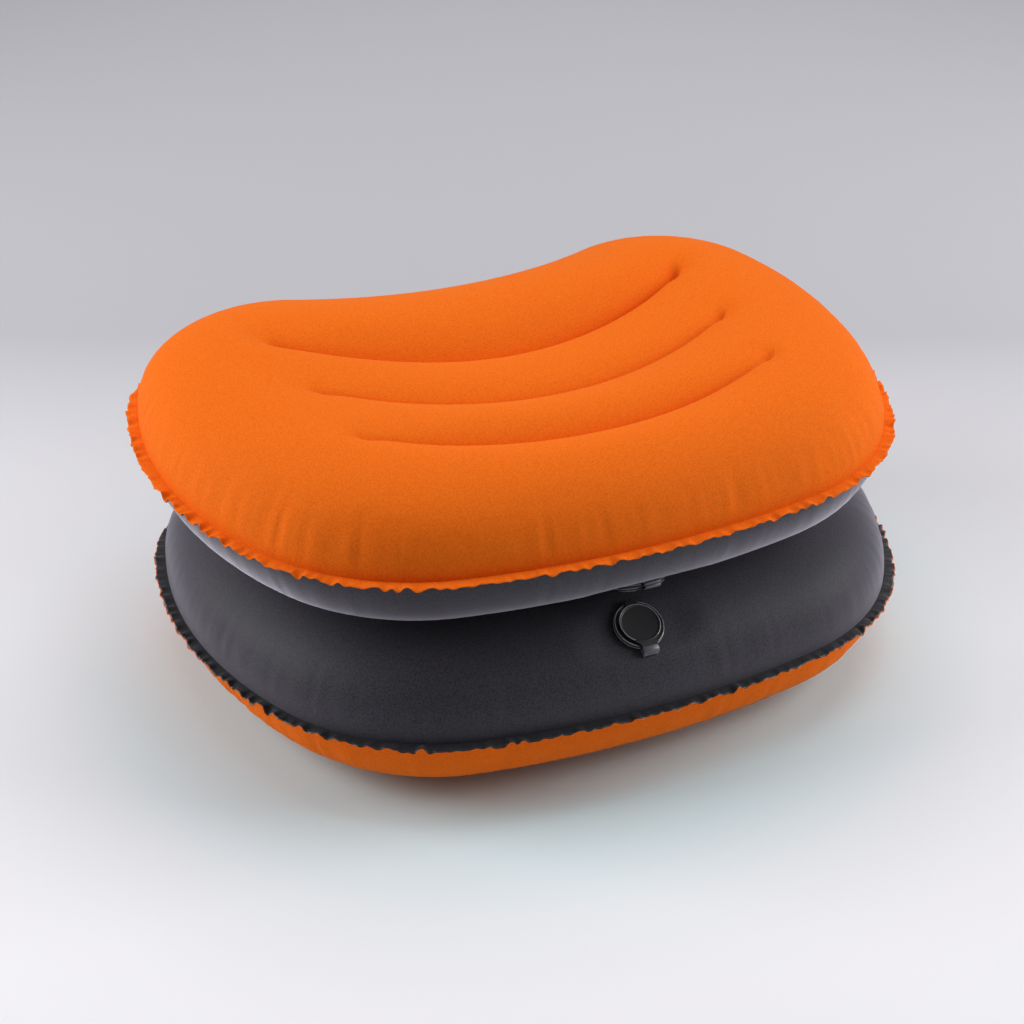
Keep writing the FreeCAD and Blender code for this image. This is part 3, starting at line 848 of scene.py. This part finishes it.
# ---------------------------------------------------------------- pillows
def dress(which):
    """Everything that shows of one pillow."""
    place = pillow_place(which)
    skins = [(panel(which, "face", place), ORANGE, "orange_fabric", f"{which}_face_panel"),
             (panel(which, "back", place), GREY, "grey_fabric", f"{which}_back_panel")]
    for skin, material, slot, node in skins:
        skin.data.materials.append(material)
        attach(skin, which)
        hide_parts(node)
    rims = zip(flange(which, place), (ORANGE, BLACK_RIM), ("orange_fabric", "grey_fabric"))
    for rim, material, slot in rims:
        rim.data.materials.append(material)
        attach(rim, which)
    for name in ("rear_tie", "middle_tie", "front_tie", "check_flap"):
        for slot in frame["nodes"][f"{which}_{name}"].material_slots:
            slot.material = CLEAR_FILM
    make_valve(which)


# ---------------------------------------------------------------- stage
STACK_MIDDLE = 0.1
FLOOR_FRONT, FLOOR_BACK, CURVE, CURVE_STEPS, WALL_TOP, STAGE_HALF = -1.6, 1.4, 0.9, 12, 3.5, 4.0
# Where the paper's painted shade starts and ends, front to back, and the reach and tones of the painted
# tint that cancels the orange light the fabric throws round the stack. Metres.
STAGE_NEAR, STAGE_FAR = -0.34, 1.33
PAPER_SHADE_TONES = ((0.0, (0.88, 0.872, 0.90)), (0.2, (0.83, 0.822, 0.855)), (0.44, (0.49, 0.484, 0.515)),
               (1.0, (0.66, 0.654, 0.69)))
GLOW_REACH = (0.44, 0.38, 1.0)
GLOW_TONES = ((0.2, (1, 1, 1)), (0.36, (0.96, 1, 1)), (0.55, (0.74, 1, 1.02)))


def colour_ramp(material, factor, tones):
    """A colour looked up among (position, colour) tones by a factor."""
    nodes, links = material.node_tree.nodes, material.node_tree.links
    ramp = nodes.new("ShaderNodeValToRGB")
    while len(ramp.color_ramp.elements) < len(tones):
        ramp.color_ramp.elements.new(0.5)
    for element, (position, colour) in zip(ramp.color_ramp.elements, tones):
        element.position = position
        element.color = (*colour, 1)
    links.new(factor, ramp.inputs["Fac"])
    return ramp.outputs["Color"]


def stage_material():
    """Seamless paper with painted shade, darker towards the back, and a painted bluish tint where the
    orange fabric throws its light on it.
    """
    material, shader = new_material("stage_paper", (0.7, 0.7, 0.72), 0.9)
    nodes, links = material.node_tree.nodes, material.node_tree.links
    where = nodes.new("ShaderNodeTexCoord")
    parts = nodes.new("ShaderNodeSeparateXYZ")
    links.new(where.outputs["Object"], parts.inputs["Vector"])
    spread = nodes.new("ShaderNodeMapRange")
    spread.inputs["From Min"].default_value = STAGE_NEAR
    spread.inputs["From Max"].default_value = STAGE_FAR
    links.new(parts.outputs["Y"], spread.inputs["Value"])
    # Painted shade: the paper darker towards the back.
    paper_shade = colour_ramp(material, spread.outputs["Result"], PAPER_SHADE_TONES)
    around = nodes.new("ShaderNodeMapping")
    around.vector_type = "TEXTURE"
    around.inputs["Rotation"].default_value = (0, 0, -math.radians(AZIMUTH))
    around.inputs["Scale"].default_value = GLOW_REACH
    links.new(where.outputs["Object"], around.inputs["Vector"])
    near = nodes.new("ShaderNodeTexGradient")
    near.gradient_type = "SPHERICAL"
    links.new(around.outputs["Vector"], near.inputs["Vector"])
    glow = colour_ramp(material, near.outputs["Fac"], GLOW_TONES)
    mix = nodes.new("ShaderNodeMix")
    mix.data_type = "RGBA"
    mix.blend_type = "MULTIPLY"
    mix.inputs["Factor"].default_value = 1.0
    links.new(paper_shade, mix.inputs["A"])
    links.new(glow, mix.inputs["B"])
    links.new(mix.outputs["Result"], shader.inputs["Base Color"])
    return material


def make_stage():
    """A floor that curves up into a back wall, turned to face the camera."""
    profile = [(FLOOR_FRONT, 0.0), (FLOOR_BACK, 0.0)]
    for k in range(1, CURVE_STEPS + 1):
        angle = k / CURVE_STEPS * math.pi / 2
        profile.append((FLOOR_BACK + CURVE * math.sin(angle), CURVE * (1 - math.cos(angle))))
    profile.append((FLOOR_BACK + CURVE, WALL_TOP))
    corners = [(x, y, z) for x in (-STAGE_HALF, STAGE_HALF) for y, z in profile]
    wide = len(profile)
    faces = [(k, k + wide, k + wide + 1, k + 1) for k in range(wide - 1)]
    mesh = bpy.data.meshes.new("stage")
    mesh.from_pydata(corners, [], faces)
    mesh.update()
    mesh.shade_smooth()
    stage = bpy.data.objects.new("stage", mesh)
    stage.rotation_euler.z = math.radians(AZIMUTH)
    bpy.context.scene.collection.objects.link(stage)
    stage.data.materials.append(stage_material())


def area_light(name, azimuth, elevation, distance, size, power):
    """A soft rectangular light, aimed at the middle of the stack."""
    data = bpy.data.lights.new(name, "AREA")
    data.shape = "RECTANGLE"
    data.size, data.size_y = size
    data.energy = power
    light = bpy.data.objects.new(name, data)
    bpy.context.scene.collection.objects.link(light)
    back = direction(azimuth, elevation)
    light.location = Vector((0, 0, STACK_MIDDLE)) + back * distance
    light.rotation_euler = (-back).to_track_quat("-Z", "Y").to_euler()


def make_light():
    """A dim sky and three softboxes."""
    world = bpy.data.worlds.new("world")
    bpy.context.scene.world = world
    world.use_nodes = True
    world.node_tree.nodes["Background"].inputs["Color"].default_value = (0.95, 0.95, 1.0, 1)
    world.node_tree.nodes["Background"].inputs["Strength"].default_value = 0.15
    area_light("top_softbox", AZIMUTH + 160, 72, 2.0, (1.8, 1.8), 19)
    area_light("left_softbox", AZIMUTH - 88, 27, 1.5, (0.9, 0.9), 16)
    area_light("right_softbox", AZIMUTH + 92, 27, 1.5, (0.9, 0.9), 14.5)
    bpy.context.scene.view_settings.view_transform = "Standard"


make_camera()
dress("lower")
dress("upper")
make_stage()
make_light()
